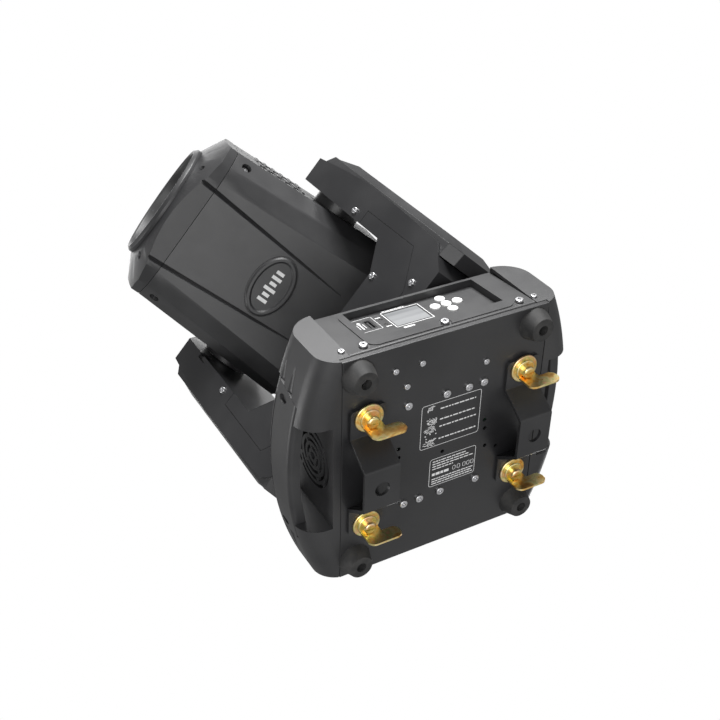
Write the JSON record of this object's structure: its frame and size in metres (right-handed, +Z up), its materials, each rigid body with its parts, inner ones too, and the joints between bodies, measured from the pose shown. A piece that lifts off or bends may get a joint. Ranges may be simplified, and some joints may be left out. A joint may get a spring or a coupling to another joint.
{
  "type": "moving head light",
  "caption": "Motorised stage light: a beam head tilting in a U-shaped yoke that pans on a base with carry handles, control panel, rubber feet and hanging brackets on quarter-turn fasteners",
  "frame": {"origin": "On the pan axis, in the plane of the two hanging brackets' outer flats, midway between their clamp holes.", "axes": "+Z runs up the pan axis from the base to the head; -Y faces the control panel; +X is to the right of someone facing the panel. The yoke rests panned -48.1 degrees about +Z and the head tilted 63.7 degrees from upright."},
  "size_m": [0.2808, 0.2725, 0.4441],
  "materials": {
    "black_plastic": "fine-textured moulded black plastic",
    "black_sheet": "satin black powder-coated sheet",
    "yellow_zinc": "yellow iridescent zinc plate over steel",
    "screw_steel": "nickel-plated steel",
    "foot_rubber": "black moulded rubber",
    "key_white": "white key caps",
    "display_face": "pale grey display window",
    "lens_glass": "clear coated optical glass",
    "mill_aluminium": "plain machined and pressed aluminium",
    "part_plastic": "black moulded insert plastic",
    "motor_black": "black laminated motor body",
    "board_green": "green circuit board",
    "wheel_metal": "thin metal wheel with coated windows"
  },
  "bodies": {
    "base": {"bottom_plate": "black_sheet", "base_top_cover": "black_sheet", "side_shell_right": "black_plastic", "side_shell_left": "black_plastic", "carry_handles": "black_plastic", "front_panel": "black_plastic", "control_plate": "black_plastic", "display": "display_face", "usb_port": "part_plastic", "status_leds": "part_plastic", "circuit_boards": "board_green", "rear_panel": "black_sheet", "rear_sockets": "part_plastic", "fuse_holder": "part_plastic", "rubber_feet": "foot_rubber", "omega_brackets": "black_sheet", "fan_frames": "part_plastic", "power_supply": "mill_aluminium", "base_screws": "screw_steel", "pan_hub": "mill_aluminium", "pan_ring_pulley": "mill_aluminium"},
    "yoke": {"yoke_frame": "black_sheet", "service_covers": "black_sheet", "arm_cover_right": "black_plastic", "arm_cover_left": "black_plastic", "yoke_bearings": "screw_steel", "drive_belts": "foot_rubber", "drive_motors": "motor_black", "yoke_screws": "screw_steel"},
    "head": {"head_shell_upper": "black_plastic", "head_shell_lower": "black_plastic", "head_badges": "black_plastic", "front_cover": "black_plastic", "lens_ring": "black_plastic", "front_lens": "lens_glass", "optics_chassis": "mill_aluminium", "led_engine": "mill_aluminium", "wheel_motor": "motor_black", "tilt_hubs": "black_sheet", "head_fan_frame": "part_plastic", "head_screws": "screw_steel"},
    "focus_carriage": {"focus_carriage": "mill_aluminium", "focus_lens": "lens_glass"},
    "pan_pinion": {"pan_pinion": "mill_aluminium"},
    "tilt_pinion": {"tilt_pinion": "mill_aluminium"},
    "tilt_lock": {"tilt_lock": "black_plastic"},
    "colour_wheel": {"colour_wheel": "wheel_metal"},
    "gobo_wheel": {"gobo_wheel": "wheel_metal"},
    "head_fan_rotor": {"head_fan_rotor": "part_plastic"},
    "fan_rotor_left": {"fan_rotor_left": "part_plastic"},
    "fan_rotor_right": {"fan_rotor_right": "part_plastic"},
    "button_enter": {"button_enter": "key_white"},
    "button_up": {"button_up": "key_white"},
    "button_down": {"button_down": "key_white"},
    "button_left": {"button_left": "key_white"},
    "button_right": {"button_right": "key_white"},
    "camlock_left_front": {"camlock_left_front": "yellow_zinc"},
    "camlock_right_front": {"camlock_right_front": "yellow_zinc"},
    "camlock_left_rear": {"camlock_left_rear": "yellow_zinc"},
    "camlock_right_rear": {"camlock_right_rear": "yellow_zinc"}
  },
  "joints": [
    {"name": "pan", "type": "hinge", "parent": "base", "child": "yoke", "pos_m": [0, 0, 0.107], "axis": [0, 0, 1], "range_deg": [-221.9, 318.1]},
    {"name": "tilt", "type": "hinge", "parent": "yoke", "child": "head", "pos_m": [0, 0, 0.3238], "axis": [0.6678, -0.7443, 0], "range_deg": [-198.7, 71.3]},
    {"name": "pan_pinion_spin", "type": "hinge", "parent": "yoke", "child": "pan_pinion", "pos_m": [-0.05209, 0.05806, 0.12], "axis": [0, 0, 1], "continuous": true},
    {"name": "tilt_pinion_spin", "type": "hinge", "parent": "yoke", "child": "tilt_pinion", "pos_m": [-0.07513, 0.08374, 0.2118], "axis": [0.6678, -0.7443, 0], "continuous": true},
    {"name": "tilt_lock_slide", "type": "slide", "parent": "yoke", "child": "tilt_lock", "axis": [0, 0, 1], "range_m": [0, 0.006]},
    {"name": "colour_wheel_spin", "type": "hinge", "parent": "head", "child": "colour_wheel", "pos_m": [0.0177, -0.01972, 0.3238], "axis": [-0.6673, -0.5987, 0.4431], "continuous": true},
    {"name": "gobo_wheel_spin", "type": "hinge", "parent": "head", "child": "gobo_wheel", "pos_m": [0.0177, -0.01972, 0.3238], "axis": [-0.6673, -0.5987, 0.4431], "continuous": true},
    {"name": "focus_slide", "type": "slide", "parent": "head", "child": "focus_carriage", "axis": [-0.6673, -0.5987, 0.4431], "range_m": [-0.011, 0.018]},
    {"name": "head_fan_spin", "type": "hinge", "parent": "head", "child": "head_fan_rotor", "pos_m": [0, 0, 0.3238], "axis": [-0.6673, -0.5987, 0.4431], "continuous": true},
    {"name": "fan_left_spin", "type": "hinge", "parent": "base", "child": "fan_rotor_left", "pos_m": [-0.09, 0, 0.062], "axis": [-1, 0, 0], "continuous": true},
    {"name": "fan_right_spin", "type": "hinge", "parent": "base", "child": "fan_rotor_right", "pos_m": [0.09, 0, 0.062], "axis": [1, 0, 0], "continuous": true},
    {"name": "button_enter_press", "type": "slide", "parent": "base", "child": "button_enter", "axis": [0, 0.997, -0.0769], "range_m": [0, 0.0008], "stiffness_N_per_m": 1500},
    {"name": "button_up_press", "type": "slide", "parent": "base", "child": "button_up", "axis": [0, 0.997, -0.0769], "range_m": [0, 0.0008], "stiffness_N_per_m": 1500},
    {"name": "button_down_press", "type": "slide", "parent": "base", "child": "button_down", "axis": [0, 0.997, -0.0769], "range_m": [0, 0.0008], "stiffness_N_per_m": 1500},
    {"name": "button_left_press", "type": "slide", "parent": "base", "child": "button_left", "axis": [0, 0.997, -0.0769], "range_m": [0, 0.0008], "stiffness_N_per_m": 1500},
    {"name": "button_right_press", "type": "slide", "parent": "base", "child": "button_right", "axis": [0, 0.997, -0.0769], "range_m": [0, 0.0008], "stiffness_N_per_m": 1500},
    {"name": "camlock_left_front_turn", "type": "hinge", "parent": "base", "child": "camlock_left_front", "pos_m": [-0.0724, -0.053, 0.02], "axis": [0, 0, -1], "range_deg": [0, 90]},
    {"name": "camlock_right_front_turn", "type": "hinge", "parent": "base", "child": "camlock_right_front", "pos_m": [0.0724, -0.053, 0.02], "axis": [0, 0, -1], "range_deg": [0, 90]},
    {"name": "camlock_left_rear_turn", "type": "hinge", "parent": "base", "child": "camlock_left_rear", "pos_m": [-0.0724, 0.053, 0.02], "axis": [0, 0, -1], "range_deg": [0, 90]},
    {"name": "camlock_right_rear_turn", "type": "hinge", "parent": "base", "child": "camlock_right_rear", "pos_m": [0.0724, 0.053, 0.02], "axis": [0, 0, -1], "range_deg": [0, 90]}
  ],
  "couplings": [
    {"joint": "pan_pinion_spin", "follows": "pan", "ratio": -3.5743},
    {"joint": "tilt_pinion_spin", "follows": "tilt", "ratio": 3.6163}
  ]
}
